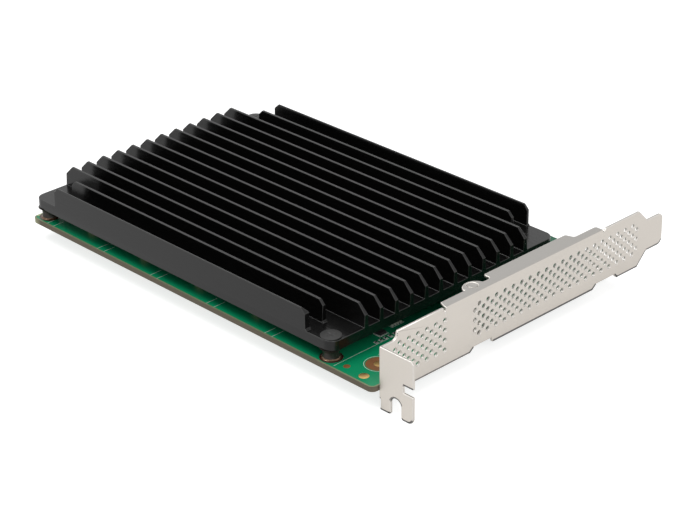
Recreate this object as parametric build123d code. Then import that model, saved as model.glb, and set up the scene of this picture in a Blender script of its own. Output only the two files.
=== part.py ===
from build123d import *
import os

# Add-in card that carries four solid-state drive modules under one finned heatsink.
# Sizes are in millimetres. X runs along the card towards the bracket, Y across it from
# the bracket's screw tab towards the edge connector, and Z up from the board.
# While the pieces are made, zero is the bracket's outer face, the screw tab's outer face
# and the board's upper face. At the end all of them move together, so that the origin
# is under the middle of the card, at the height that its lowest edge rests on.

# Bracket sheet, bent from one blank
sheet = 0.86
bracket_length = 120.02
plate_width = 18.42
plate_top = 14.67
tongue_length = 7.27
tongue_width = 10.19
tongue_round = 2.0
bend_round = 0.45
tab_depth = 11.85
tab_width = 19.18
tab_drop = 2.54
tab_corner = 0.8
tab_lower_setback = 0.25
screw_slot_width = 3.9
screw_slot_x = 5.5
screw_slot_height = 5.6
tab_notch_depth = 3.7
tab_notch_height = 2.35
tab_notch_top = 8.35
inner_prong_round = 0.8
outer_prong_round = 1.9
corner_cut_length = 6.2
corner_cut_round = 1.7
corner_tip_round = 0.8

# Stiffening flange along the bracket's upper edge
flange_start = 25.1
flange_start_slant = 1.0
flange_end = 91.9
flange_depth = 3.1
wide_flange_start = 46.4
wide_flange_end = 82.4
wide_flange_depth = 5.9
wide_flange_slope = 0.9
flange_round = 0.9
near_relief_width = 0.8
near_relief_depth = 1.3
far_relief_width = 1.2
far_relief_depth = 0.8
far_relief_slant = 0.7
ear_x = -1.9
ear_y = 39.4
ear_radius = 4.1

# Bracket feet, folded in under the board
foot_length = 8.4
foot_round = 1.5
near_foot_width = 7.5
near_foot_offset = 0.8
near_foot_slants = (1.6, 0.4)
far_foot_width = 8.3
far_foot_slants = (1.7, 1.3)
far_foot_y = 93.75
far_foot_x = -4.6
far_foot_offset = 0.0

# Perforation of the bracket, two staggered fields
hole_diameter = 1.5
hole_column_step = 1.765
hole_row_step = 1.55
hole_top_drop = 4.0
hole_rows = 7
near_field_start = 5.4
near_field_columns = 12
far_field_start = 37.0
far_field_columns = 41
hole_sides = 6

# Circuit board
board_thickness = 1.6
board_length = 149.3
board_setback = 1.2
board_overhang = 2.11
board_depth = 102.9
board_round = 1.8
connector_depth = 8.25
key_x = 57.15
key_width = 1.9
key_depth = 7.9
short_row = 11
long_row = 71
contact_pitch = 1.0
contact_width = 0.7
contact_length = 4.2
contact_inset = 1.5
contact_thickness = 0.05
row_margin = 0.825
connector_chamfer = 1.2
bevel_length = 1.3
bevel_rise = 0.4
hook_gap = 4.6
hook_length = 6.2
hook_leg = 2.6
hook_drop = 6.4
hook_foot = 2.3
hook_round = 0.6
hidden_sides = 10

# Heatsink, a finned extrusion with its four corners milled down to pads
sink_length = 132.4
sink_width = 92.6
sink_setback = 17.8
sink_inset = 1.05
sink_lift = 3.5
base_thickness = 3.13
base_round = 3.4
fin_height = 6.65
fin_count = 16
fin_pitch = 5.98
fin_root = 1.7
fin_tip = 0.85
wall_fin = 2.0
wall_fin_shoulder = 1.75
wall_fin_tip = 0.45
wall_fin_bevel = 1.4
long_fin_chamfer = 2.85
short_fin_chamfer = 1.6
pad_length = 10.5
pad_ledge = 0.4
short_fins = 2
pocket_depth = 1.5
rim_near = 2.4
rim_side = 3.6
screw_inset_x = 3.45
screw_inset_y = 3.1
boss_radius = 4.2

# Heatsink fasteners
standoff_diameter = 4.2
stem_diameter = 3.2
screw_diameter = 2.5
screw_head_diameter = 6.1
screw_head_height = 0.45
lower_head_diameter = 5.0
lower_head_height = 1.2
lower_screw_reach = 2.3
head_edge = 0.25
fit_gap = 0.1

# Module places: socket, post and pad for each of the four modules
module_count = 4
module_pitch = 25.0
module_length = 80.0
module_lift = 2.45
module_board = 0.8
first_module_x = -130.1
post_setback = 8.6
post_diameter = 5.5
post_stem = 3.0
post_thread = 1.8
shorter_modules = (20.0, 38.0)
socket_length = 21.9
socket_depth = 8.8
socket_height = 4.2
socket_front = 4.3
socket_slot_height = 1.25
socket_slot_length = 20.4
socket_lip = 2.6
socket_key = 1.1
socket_key_x = 6.1
pad_width = 20.0
thermal_pad_length = 70.0
thermal_pad_thickness = 0.7

# Bracket fasteners
pillar_x = -3.7
pillar_y = 39.6
pillar_diameter = 4.6
pillar_thread_depth = 6.0
nut_diameter = 5.0
nut_height = 2.4
bracket_screw_diameter = 2.4
bracket_screw_length = 4.4
bracket_screw_head = 4.6
bracket_screw_head_height = 1.1

# Power stage beside the modules, mirrored about its own middle line
power_x = -33.0
power_spacing = 26.0
power_middle_y = 45.0
inductor_size = 7.0
inductor_height = 3.0
inductor_corner = 0.7
regulator_size = 5.0
regulator_height = 0.9
polymer_length = 7.3
polymer_width = 4.3
polymer_height = 2.8
part_gap = 1.5

# Small parts
clock_size = 6.0
clock_y = 84.0
chip_x = -21.2
chip_y = 21.0
chip_size = 2.6
chip_height = 0.75
led_x = -21.7
led_y = 26.3
led_step = 1.1
led_length = 0.7
led_width = 0.7
led_height = 0.5
led_count = 4
small_length = 1.0
small_width = 0.5
small_height = 0.4
coupling_per_socket = 6
coupling_gap = 1.5
coupling_pitch = 1.4
resistor_count = 5
resistor_x = -18.0
resistor_y = 16.3
resistor_step = 1.85

# Places that follow from the sizes
plate_bottom = plate_top - plate_width
plate_middle = plate_top - plate_width / 2
shoulder = (plate_width - tongue_width) / 2
shoulder_y = bracket_length - tongue_length
tab_top = plate_top - tab_drop
tab_bottom = tab_top - tab_width
foot_bottom = -board_thickness - sheet
board_right = -board_setback
board_left = board_right - board_length
board_near = -board_overhang
board_far = board_near + board_depth
connector_far = board_far + connector_depth
short_length = (short_row - 1) * contact_pitch + 2 * row_margin
long_length = (long_row - 1) * contact_pitch + 2 * row_margin
connector_right = -key_x + key_width / 2 + short_length
connector_left = -key_x - key_width / 2 - long_length
sink_right = -sink_setback
sink_left = sink_right - sink_length
sink_near = board_near + sink_inset
sink_far = sink_near + sink_width
sink_mid_x = (sink_left + sink_right) / 2
sink_mid_y = (sink_near + sink_far) / 2
base_top = sink_lift + base_thickness
fin_top = base_top + fin_height
pocket_roof = sink_lift + pocket_depth
post_y = board_near + post_setback
socket_y = post_y + module_length


def block(x0, x1, y0, y1, z0, z1):
    """A box between two corners."""
    solid = Box(x1 - x0, y1 - y0, z1 - z0)
    return Pos((x0 + x1) / 2, (y0 + y1) / 2, (z0 + z1) / 2) * solid


def rod(x, y, z0, z1, diameter):
    """An upright cylinder."""
    return Pos(x, y, (z0 + z1) / 2) * Cylinder(diameter / 2, z1 - z0)


def peg(x, y, z0, z1, diameter):
    """An upright prism of few sides, for round parts and holes that other pieces hide."""
    prism = extrude(RegularPolygon(diameter / 2, hidden_sides, major_radius=False), z1 - z0)
    return Pos(x, y, z0) * prism


def sheet_x(points, x0, x1):
    """A flat outline in Y and Z, given thickness from x0 to x1."""
    face = make_face(Polyline(*points, close=True))
    return Pos(x0, 0, 0) * extrude(Plane.YZ * face, x1 - x0)


def screw_places():
    """The heatsink's four screws, one near each corner."""
    return top_screw_places() + lower_screw_places()


def top_screw_places():
    """Near right and far left corners, screwed from above."""
    return [(sink_right - screw_inset_x, sink_near + screw_inset_y),
            (sink_left + screw_inset_x, sink_far - screw_inset_y)]


def lower_screw_places():
    """Near left and far right corners, screwed from below."""
    return [(sink_left + screw_inset_x, sink_near + screw_inset_y),
            (sink_right - screw_inset_x, sink_far - screw_inset_y)]


def feet():
    """Each foot's screw place, middle line, width and side slants."""
    return ((pillar_x, pillar_y, pillar_y + near_foot_offset, near_foot_width, near_foot_slants),
            (far_foot_x, far_foot_y, far_foot_y + far_foot_offset, far_foot_width,
             far_foot_slants))


def module_places():
    """The middle line of each module along X."""
    return [first_module_x + i * module_pitch for i in range(module_count)]


# Bracket

def perforation_places():
    """Hole centres (y, z): every second column starts a row lower and has one hole fewer."""
    places = []
    for start, columns in ((near_field_start, near_field_columns),
                           (far_field_start, far_field_columns)):
        for column in range(columns):
            y = start + column * hole_column_step
            for row in range((column + 1) % 2, hole_rows, 2):
                places.append((y, plate_top - hole_top_drop - row * hole_row_step))
    return places


def plate_outline():
    """The flat plate: a cut corner at the tab, a shouldered tongue at the far end."""
    bottom, top, middle = plate_bottom, plate_top, plate_middle
    half = tongue_width / 2
    near = sheet
    cut = corner_cut_length
    points = [
        (near, bottom), (shoulder_y - shoulder, bottom), (shoulder_y, middle - half),
        (bracket_length, middle - half), (bracket_length, middle + half),
        (shoulder_y, middle + half), (shoulder_y - shoulder, top), (cut, top),
        (cut, tab_top), (near, tab_top),
    ]
    face = make_face(Polyline(*points, close=True))
    tips = [v for v in face.vertices() if abs(v.X - bracket_length) < 0.01]
    face = fillet(tips, tongue_round)
    for height, size in ((tab_top, corner_cut_round), (top, corner_tip_round)):
        corner = [v for v in face.vertices() if abs(v.X - cut) < 0.01 and abs(v.Y - height) < 0.01]
        face = fillet(corner, size)
    return face


def perforated_plate():
    plate = Pos(-sheet, 0, 0) * extrude(Plane.YZ * plate_outline(), sheet)
    outline = RegularPolygon(hole_diameter / 2, hole_sides, major_radius=False)
    turned = Plane.YZ * extrude(outline, 3 * sheet, both=True)
    holes = [Pos(0, y, z) * turned for y, z in perforation_places()]
    return plate - holes


def bend_strip(length, axis_turn):
    """The corner between two flat stretches at a sharp bend, rounded on its outer side."""
    corner = block(0, sheet, 0, sheet, -length / 2, length / 2)
    outer = [e for e in corner.edges().filter_by(Axis.Z)
             if e.center().X > sheet - 0.01 and e.center().Y > sheet - 0.01]
    return Rot(0, 0, axis_turn) * fillet(outer, bend_round)


def screw_tab():
    """The tab that a chassis screw clamps, with its open slot and side notch."""
    tab = block(0, tab_depth, 0, sheet, tab_bottom, tab_top)
    tab += block(-tab_lower_setback, 0, 0, sheet, tab_bottom, plate_bottom)
    corner = [e for e in tab.edges().filter_by(Axis.Y)
              if e.center().X > tab_depth - 0.01 and e.center().Z > tab_top - 0.01]
    tab = chamfer(corner, tab_corner)
    slot_round = screw_slot_width / 2
    slot_top = tab_bottom + screw_slot_height - slot_round
    slot = block(screw_slot_x - slot_round, screw_slot_x + slot_round, -sheet, 2 * sheet,
                 tab_bottom - sheet, slot_top)
    slot += Pos(screw_slot_x, sheet / 2, slot_top) * Rot(90, 0, 0) * Cylinder(slot_round, 3 * sheet)
    notch_top = tab_top - tab_notch_top
    notch = block(tab_depth - tab_notch_depth, tab_depth + sheet, -sheet, 2 * sheet,
                  notch_top - tab_notch_height, notch_top)
    tab = tab - slot - notch
    for x, size in ((screw_slot_x - slot_round, inner_prong_round),
                    (screw_slot_x + slot_round, inner_prong_round),
                    (tab_depth, outer_prong_round)):
        tip = [e for e in tab.edges().filter_by(Axis.Y)
               if abs(e.center().X - x) < 0.01 and e.center().Z < tab_bottom + 0.01]
        tab = fillet(tip, size)
    height = tab_top - plate_bottom
    bend = Pos(0, sheet, plate_bottom + height / 2) * bend_strip(height, 180)
    return tab + bend


def upper_flange():
    """The upper edge folded inwards: narrow, a wide middle, and an ear for the pillar."""
    fold, narrow, wide = -sheet, -flange_depth, -wide_flange_depth
    points = [
        (fold, flange_start), (narrow, flange_start + flange_start_slant),
        (narrow, wide_flange_start),
        (wide, wide_flange_start), (wide, wide_flange_end - wide_flange_slope),
        (narrow, wide_flange_end), (narrow, flange_end), (fold, flange_end),
    ]
    face = make_face(Polyline(*points, close=True))
    first = flange_start + flange_start_slant
    corners = [v for v in face.vertices() if v.X < narrow + 0.01 and v.Y > first + 0.01]
    flange = Pos(0, 0, plate_top - sheet) * extrude(fillet(corners, flange_round), sheet)
    ear = rod(ear_x, ear_y, plate_top - sheet, plate_top, 2 * ear_radius)
    flange += ear - block(fold, ear_radius, flange_start, flange_end,
                          plate_top - 2 * sheet, plate_top + sheet)
    bend = Rot(90, 0, 0) * bend_strip(flange_end - flange_start, 0)
    middle = (flange_start + flange_end) / 2
    return flange + Pos(fold, middle, plate_top - sheet) * bend


def foot(x, y, middle, width):
    """A foot under the board, bent in from the plate's lower edge."""
    flat = block(-foot_length, -sheet, middle - width / 2, middle + width / 2,
                 foot_bottom, -board_thickness)
    tip = [e for e in flat.edges().filter_by(Axis.Z) if e.center().X < -foot_length + 0.01]
    flat = fillet(tip, foot_round)
    bend = Rot(-90, 0, 0) * bend_strip(width, 0)
    flat += Pos(-sheet, middle, foot_bottom + sheet) * bend
    return flat - peg(x, y, foot_bottom - sheet, 0, bracket_screw_diameter + 4 * fit_gap)


def foot_recess(middle, width, slants):
    """Plate metal that is missing at a foot: the bend's place, and a slanted recess below."""
    near, far = middle - width / 2, middle + width / 2
    recess = sheet_x([(near - slants[0], plate_bottom), (near, foot_bottom), (far, foot_bottom),
                      (far + slants[1], plate_bottom), (far + slants[1], plate_bottom - sheet),
                      (near - slants[0], plate_bottom - sheet)], -2 * sheet, sheet)
    return recess + block(-2 * sheet, sheet, near, far, plate_bottom - sheet, foot_bottom + sheet)


def flange_reliefs():
    """Notches in the plate's upper edge at both ends of the flange."""
    near_low = plate_top - near_relief_depth
    near_end = flange_start - near_relief_width
    far_low = plate_top - far_relief_depth
    far_end = flange_end + far_relief_width
    near = sheet_x([(near_end, near_low), (flange_start, near_low), (flange_start, plate_top + 1),
                    (near_end, plate_top + 1)], -2 * sheet, sheet)
    far = sheet_x([(flange_end, far_low), (far_end - far_relief_slant, far_low),
                   (far_end, plate_top), (far_end, plate_top + 1), (flange_end, plate_top + 1)],
                  -2 * sheet, sheet)
    return near + far


def bracket():
    plate = perforated_plate() - flange_reliefs()
    plate -= block(-2 * sheet, sheet, flange_start, flange_end, plate_top - sheet,
                   plate_top + sheet)
    whole = plate + screw_tab() + upper_flange()
    for x, y, middle, width, slants in feet():
        whole = whole - foot_recess(middle, width, slants) + foot(x, y, middle, width)
    return whole - rod(pillar_x, pillar_y, 0, plate_top + sheet, stem_diameter)


def bracket_pillar():
    """The pillar riveted flush into the ear, standing on the board."""
    pillar = rod(pillar_x, pillar_y, 0, plate_top - sheet, pillar_diameter)
    pillar += rod(pillar_x, pillar_y, plate_top - sheet, plate_top, stem_diameter - fit_gap)
    return pillar - peg(pillar_x, pillar_y, -1, pillar_thread_depth,
                        bracket_screw_diameter + fit_gap)


def bracket_nut():
    nut = Pos(far_foot_x, far_foot_y, 0) * extrude(RegularPolygon(nut_diameter / 2, 6), nut_height)
    return nut - peg(far_foot_x, far_foot_y, -1, nut_height + 1, bracket_screw_diameter + fit_gap)


def bracket_screws():
    """Two screws from the solder side, through the feet and the board."""
    screws = []
    for x, y, _, _, _ in feet():
        head_low = foot_bottom - bracket_screw_head_height
        screw = peg(x, y, head_low, foot_bottom, bracket_screw_head)
        screw = chamfer(screw.edges().group_by(Axis.Z)[0], head_edge)
        screw += peg(x, y, foot_bottom, foot_bottom + bracket_screw_length, bracket_screw_diameter)
        screws.append(screw)
    return screws


# Circuit board

def board_outline():
    """Board with the edge connector's tongue and the retention hook behind it."""
    far, edge = connector_far, board_far
    cut = connector_chamfer
    hook_right = connector_left - hook_gap
    hook_left = hook_right - hook_length
    points = [
        (board_left, board_near), (board_right, board_near), (board_right, edge),
        (connector_right, edge), (connector_right, far - cut), (connector_right - cut, far),
        (connector_left + cut, far), (connector_left, far - cut), (connector_left, edge),
        (hook_left + hook_leg, edge), (hook_left + hook_leg, edge + hook_drop - hook_foot),
        (hook_right, edge + hook_drop - hook_foot), (hook_right, edge + hook_drop),
        (hook_left, edge + hook_drop), (hook_left, edge), (board_left, edge),
    ]
    face = make_face(Polyline(*points, close=True))
    corners = [v for v in face.vertices()
               if (abs(v.X - board_left) < 0.01 or abs(v.X - board_right) < 0.01)]
    face = fillet(corners, board_round)
    hook = [v for v in face.vertices() if v.Y > edge + 0.01 and v.X < connector_left - 0.01]
    return fillet(hook, hook_round)


def board_holes():
    """Every drilled hole, as cutting prisms."""
    low, high = -2 * board_thickness, board_thickness
    holes = [peg(x, y, low, high, stem_diameter + fit_gap) for x, y in screw_places()]
    for x, y, _, _, _ in feet():
        holes.append(peg(x, y, low, high, bracket_screw_diameter + 3 * fit_gap))
    for x in module_places():
        for shorter in (0,) + shorter_modules:
            holes.append(peg(x, post_y + shorter, low, high, post_stem + fit_gap))
    return holes


def circuit_board():
    board = Pos(0, 0, -board_thickness) * extrude(board_outline(), board_thickness)
    key = block(-key_x - key_width / 2, -key_x + key_width / 2,
                connector_far - key_depth + key_width / 2, connector_far + 1,
                -2 * board_thickness, board_thickness)
    key += rod(-key_x, connector_far - key_depth + key_width / 2,
               -2 * board_thickness, board_thickness, key_width)
    for face_z, side in ((0, 1), (-board_thickness, -1)):
        wedge = sheet_x([(connector_far - bevel_length, face_z),
                         (connector_far + 1, face_z - side * bevel_rise * (1 + 1 / bevel_length)),
                         (connector_far + 1, face_z + side),
                         (connector_far - bevel_length, face_z + side)],
                        connector_left - 1, connector_right + 1)
        board -= wedge
    return board - key - board_holes()


def edge_contacts():
    """Gold contacts on both faces: a short row by the bracket, a long row behind the key."""
    first_short = connector_right - row_margin
    first_long = -key_x - key_width / 2 - row_margin
    xs = [first_short - i * contact_pitch for i in range(short_row)]
    xs += [first_long - i * contact_pitch for i in range(long_row)]
    y1 = connector_far - contact_inset
    y0 = y1 - contact_length
    half = contact_width / 2
    contacts = []
    for x in xs:
        contacts.append(block(x - half, x + half, y0, y1, 0, contact_thickness))
        contacts.append(block(x - half, x + half, y0, y1,
                              -board_thickness - contact_thickness, -board_thickness))
    return contacts


# Heatsink

def wall_fin_section(outer, inward):
    """An outer fin's section (y, z): flush with the base outside, bevelled to a thin tip inside."""
    low, high = base_top - pocket_depth / 2, fin_top
    return [(outer, low), (outer + inward * wall_fin, low), (outer + inward * wall_fin, base_top),
            (outer + inward * wall_fin_shoulder, high - wall_fin_bevel),
            (outer + inward * wall_fin_tip, high), (outer, high)]


def fin_section(index):
    """A fin's tapered section (y, z)."""
    if index == 0:
        return wall_fin_section(sink_near, 1)
    if index == fin_count - 1:
        return wall_fin_section(sink_far, -1)
    centre = sink_mid_y + (index - (fin_count - 1) / 2) * fin_pitch
    root, tip = fin_root / 2, fin_tip / 2
    low, high = base_top - pocket_depth / 2, fin_top
    return [(centre - root, low), (centre + root, low), (centre + root, base_top),
            (centre + tip, high), (centre - tip, high), (centre - root, base_top)]


def side_profile(end_gap, cut, ledge):
    """What the milling cutter leaves of the fins, seen from the side."""
    left, right = sink_left + end_gap, sink_right - end_gap
    low = sink_lift
    step = base_top + ledge
    points = [(left - ledge, low), (right + ledge, low), (right + ledge, step), (right, step),
              (right, fin_top - cut), (right - cut, fin_top), (left + cut, fin_top),
              (left, fin_top - cut), (left, step), (left - ledge, step)]
    if not ledge:
        points = points[:2] + points[4:8]
    face = make_face(Polyline(*points, close=True))
    side = extrude(Plane.XZ * face, sink_width, both=True)
    return Pos(0, sink_mid_y, 0) * side


def fin_group(indexes, end_gap, cut, ledge):
    fins = [sheet_x(fin_section(i), sink_left, sink_right) for i in indexes]
    profile = side_profile(end_gap, cut, ledge)
    return [fin & profile for fin in fins]


def sink_base():
    """Base slab with rounded corners, and a pocket below that is open at the far side."""
    base = block(sink_left, sink_right, sink_near, sink_far, sink_lift, base_top)
    base = fillet(base.edges().filter_by(Axis.Z), base_round)
    pocket = block(sink_left + rim_side, sink_right - rim_side, sink_near + rim_near,
                   sink_far + 1, sink_lift - 1, pocket_roof)
    for x, y in screw_places():
        inward = -1 if x > sink_mid_x else 1
        corner = rod(x, y, sink_lift - 2, pocket_roof + 1, 2 * boss_radius)
        outer = x - inward * boss_radius
        x0, x1 = sorted((x, outer))
        corner += block(x0, x1, y - boss_radius, y + boss_radius, sink_lift - 2, pocket_roof + 1)
        pocket -= corner
    return base - pocket


def heatsink():
    ends = list(range(short_fins)) + list(range(fin_count - short_fins, fin_count))
    middle = list(range(short_fins, fin_count - short_fins))
    sink = sink_base()
    sink += fin_group(middle, 0, long_fin_chamfer, 0)
    sink += fin_group(ends, pad_length, short_fin_chamfer, pad_ledge)
    holes = [peg(x, y, sink_lift - 1, base_top + 1, screw_diameter + 3 * fit_gap)
             for x, y in top_screw_places()]
    holes += [peg(x, y, sink_lift - 1, sink_lift + lower_screw_reach + fit_gap,
                  screw_diameter + fit_gap) for x, y in lower_screw_places()]
    return sink - holes


def heatsink_standoffs():
    """Four threaded standoffs, their stems set in the board."""
    standoffs = []
    for x, y in screw_places():
        post = rod(x, y, 0, sink_lift, standoff_diameter)
        post += peg(x, y, -board_thickness, 0, stem_diameter)
        standoffs.append(post - peg(x, y, -board_thickness - 1, sink_lift + 1,
                                    screw_diameter + fit_gap))
    return standoffs


def heatsink_top_screws():
    """Two low-headed screws from the milled pads down into the standoffs."""
    screws = []
    for x, y in top_screw_places():
        screw = rod(x, y, base_top, base_top + screw_head_height, screw_head_diameter)
        screw = chamfer(screw.edges().group_by(Axis.Z)[-1], head_edge)
        screw += peg(x, y, 0, base_top, screw_diameter)
        screws.append(screw)
    return screws


def heatsink_lower_screws():
    """Two screws from the solder side, through the standoffs into the heatsink's base."""
    screws = []
    for x, y in lower_screw_places():
        head_low = -board_thickness - lower_head_height
        screw = peg(x, y, head_low, -board_thickness, lower_head_diameter)
        screw = chamfer(screw.edges().group_by(Axis.Z)[0], head_edge)
        screw += peg(x, y, -board_thickness, sink_lift + lower_screw_reach, screw_diameter)
        screws.append(screw)
    return screws


# Module places

def socket_body(x):
    """Edge socket for one module: open at the near side and keyed."""
    half = socket_length / 2
    front = socket_y - socket_front
    rear = front + socket_depth
    body = block(x - half, x + half, front, rear, 0, socket_height)
    slot_low = module_lift - (socket_slot_height - module_board) / 2
    slot_half = socket_slot_length / 2
    slot = block(x - slot_half, x + slot_half, front - 1, socket_y + fit_gap,
                 slot_low, slot_low + socket_slot_height)
    slot += block(x - slot_half, x + slot_half, front - 1, front + socket_lip,
                  slot_low, socket_height + 1)
    key = block(x + socket_key_x - socket_key / 2, x + socket_key_x + socket_key / 2,
                front + socket_lip, socket_y + fit_gap, slot_low, slot_low + socket_slot_height)
    return body - slot + key


def module_posts():
    """A threaded post at each module's free end, its stem set in the board."""
    posts = []
    for x in module_places():
        post = peg(x, post_y, 0, module_lift, post_diameter)
        post += peg(x, post_y, -board_thickness, 0, post_stem)
        posts.append(post - peg(x, post_y, -board_thickness - 1, module_lift + 1, post_thread))
    return posts


def thermal_pad(x):
    """A soft pad stuck under the heatsink over one module."""
    half = pad_width / 2
    y0 = post_y + post_diameter / 2
    return block(x - half, x + half, y0, y0 + thermal_pad_length,
                 pocket_roof - thermal_pad_thickness, pocket_roof)


# Electronics

def power_stage(side):
    """Inductor, regulator and polymer capacitor of one supply, in a row along the board."""
    y = power_middle_y + side * power_spacing / 2
    half = inductor_size / 2
    coil = block(power_x - half, power_x + half, y - half, y + half, 0, inductor_height)
    coil = chamfer(coil.edges().filter_by(Axis.Z), inductor_corner)
    chip_middle = y + side * (half + part_gap + regulator_size / 2)
    half_chip = regulator_size / 2
    chip = block(power_x - half_chip, power_x + half_chip, chip_middle - half_chip,
                 chip_middle + half_chip, 0, regulator_height)
    cap_middle = y - side * (half + part_gap + polymer_width / 2)
    cap = block(power_x - polymer_length / 2, power_x + polymer_length / 2,
                cap_middle - polymer_width / 2, cap_middle + polymer_width / 2,
                0, polymer_height)
    return coil, chip, cap


def small_part(x, y, length, width, height):
    return block(x - length / 2, x + length / 2, y - width / 2, y + width / 2, 0, height)


def status_leds():
    return [small_part(led_x, led_y + i * led_step, led_length, led_width, led_height)
            for i in range(led_count)]


def coupling_capacitors():
    """A short column of small capacitors beside each socket."""
    start = socket_y - socket_front + small_width
    columns = [x - socket_length / 2 - coupling_gap for x in module_places()]
    return [small_part(x, start + i * coupling_pitch, small_length, small_width, small_height)
            for x in columns for i in range(coupling_per_socket)]


def resistors():
    return [small_part(resistor_x, resistor_y + i * resistor_step, small_length, small_width,
                       small_height) for i in range(resistor_count)]


def all_pieces():
    """Every node by name."""
    pieces = {
        "circuit_board": circuit_board(),
        "edge_contacts": edge_contacts(),
        "bracket": bracket(),
        "bracket_pillar": bracket_pillar(),
        "bracket_nut": bracket_nut(),
        "bracket_screws": bracket_screws(),
        "heatsink": heatsink(),
        "heatsink_standoffs": heatsink_standoffs(),
        "heatsink_top_screws": heatsink_top_screws(),
        "heatsink_lower_screws": heatsink_lower_screws(),
        "module_posts": module_posts(),
        "status_leds": status_leds(),
        "coupling_capacitors": coupling_capacitors(),
        "resistors": resistors(),
        "clock_chip": small_part(power_x, clock_y, clock_size, clock_size, regulator_height),
        "indicator_chip": small_part(chip_x, chip_y, chip_size, chip_size, chip_height),
    }
    for number, x in enumerate(module_places(), 1):
        pieces[f"module_socket_{number}"] = socket_body(x)
        pieces[f"thermal_pad_{number}"] = thermal_pad(x)
    for number, side in ((1, -1), (2, 1)):
        coil, chip, cap = power_stage(side)
        pieces[f"inductor_{number}"] = coil
        pieces[f"regulator_{number}"] = chip
        pieces[f"polymer_capacitor_{number}"] = cap
    return pieces


def main():
    os.makedirs("parts", exist_ok=True)
    pieces = all_pieces()
    middle_x = (tab_depth + board_left) / 2
    middle_y = (board_near + bracket_length) / 2
    shift = Pos(-middle_x, -middle_y, -tab_bottom)
    for name, piece in pieces.items():
        solids = piece if isinstance(piece, list) else [piece]
        placed = [shift * solid for solid in solids]
        shape = placed[0] if len(placed) == 1 else Compound(children=placed)
        export_step(shape, f"parts/{name}.step")


main()
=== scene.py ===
import math

import bmesh
import bpy
import numpy as np
from mathutils import Matrix, Quaternion, Vector


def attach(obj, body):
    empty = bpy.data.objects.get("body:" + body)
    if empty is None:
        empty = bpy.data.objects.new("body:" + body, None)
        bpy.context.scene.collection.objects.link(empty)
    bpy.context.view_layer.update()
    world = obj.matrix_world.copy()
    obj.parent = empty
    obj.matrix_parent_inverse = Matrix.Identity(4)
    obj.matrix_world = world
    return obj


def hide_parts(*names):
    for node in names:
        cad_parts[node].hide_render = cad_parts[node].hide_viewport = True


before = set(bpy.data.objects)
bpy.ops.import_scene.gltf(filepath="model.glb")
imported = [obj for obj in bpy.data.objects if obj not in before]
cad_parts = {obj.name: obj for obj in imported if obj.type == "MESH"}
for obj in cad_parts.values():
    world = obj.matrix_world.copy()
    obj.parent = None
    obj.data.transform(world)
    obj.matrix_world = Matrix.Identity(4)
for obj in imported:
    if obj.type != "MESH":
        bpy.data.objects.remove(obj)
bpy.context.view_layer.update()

# Places are written in millimetres from the bracket's face (x), the screw tab's face (y)
# and the board's upper side (z), as on a drawing of the card, and moved to the frame here.
drawing = dict(shift=(69.325, -58.955, 7.05), seed=11)
rng = np.random.default_rng(drawing["seed"])

card = dict(
    sheet=0.86, plateTop=14.67, boardThickness=1.6,
    boardLeft=-150.5, boardRight=-1.2, boardNear=-2.11, boardFar=100.79,
    boardRound=1.8, keyX=-57.15, keyHalf=0.95, contactPitch=1, rowMargin=0.825,
    sinkLeft=-150.2, sinkRight=-17.8, sinkNear=-1.06, sinkFar=91.54,
    sinkLow=3.5, baseTop=6.63, screwInset=(3.45, 3.1),
    modules=(-130.1, -105.1, -80.1, -55.1), postY=6.49, socketY=86.49,
    pillar=(-3.7, 39.6), farFootY=93.75,
)
underside = -card["boardThickness"]


def toFrame(points):
    # drawing millimetres to frame metres
    return (np.asarray(points, dtype=float) + np.array(drawing["shift"])) / 1000.0


def toDrawing(points):
    # frame metres to drawing millimetres
    return np.asarray(points, dtype=float) * 1000.0 - np.array(drawing["shift"])


# camera, at the place and angle of the picture
cameraLook = dict(
    place=(352.414, -355.006, 294.059), aim=(-66.899, 54.059, -7.236), roll=-0.488,
    focal=2167.18, width=700,   # both in pixels
    sensor=36, clip=(0.01, 20),
)


def layCamera():
    look = cameraLook
    data = bpy.data.cameras.new("camera")
    data.sensor_width = look["sensor"]
    data.lens = look["focal"] * look["sensor"] / look["width"]
    data.clip_start, data.clip_end = look["clip"]
    cam = bpy.data.objects.new("camera", data)
    bpy.context.scene.collection.objects.link(cam)
    place, aim = Vector(toFrame(look["place"])), Vector(toFrame(look["aim"]))
    turn = (aim - place).to_track_quat("-Z", "Y")
    roll = Quaternion((0, 0, 1), math.radians(look["roll"]))
    cam.matrix_world = Matrix.Translation(place) @ (turn @ roll).to_matrix().to_4x4()
    bpy.context.scene.camera = cam
    print("camera placed")


def addNode(tree, kind, inputs=None, **settings):
    # a new node; inputs that are sockets are linked, others are values; gives its outputs
    node = tree.nodes.new("ShaderNode" + kind)
    for name, value in settings.items():
        setattr(node, name, value)
    for name, value in (inputs or {}).items():
        if isinstance(value, bpy.types.NodeSocket):
            tree.links.new(value, node.inputs[name])
        else:
            node.inputs[name].default_value = value
    return node.outputs


def mapRange(tree, value, toLow, toHigh, fromLow=0.0, fromHigh=1.0):
    return addNode(tree, "MapRange", {"Value": value, "From Min": fromLow, "From Max": fromHigh,
                                      "To Min": toLow, "To Max": toHigh})["Result"]


def emptyTree(owner):
    owner.use_nodes = True
    owner.node_tree.nodes.clear()
    return owner.node_tree


# light and floor; the glows are for the floor seen directly and in a glossy face
studio = dict(
    floorSize=4, floorColour=(0.50, 0.50, 0.50, 1), floorGlow=(0.76, 0.4928),
    worldColour=(1, 1, 1, 1), worldShown=1, worldLight=0.42,
    lamps=(
        # name, place in metres, size, watts
        ("topLamp", (-0.35, -0.25, 1.25), 0.9, 11),
        ("sideLamp", (1.1, -0.55, 0.75), 0.6, 5),
    ),
)


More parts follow.
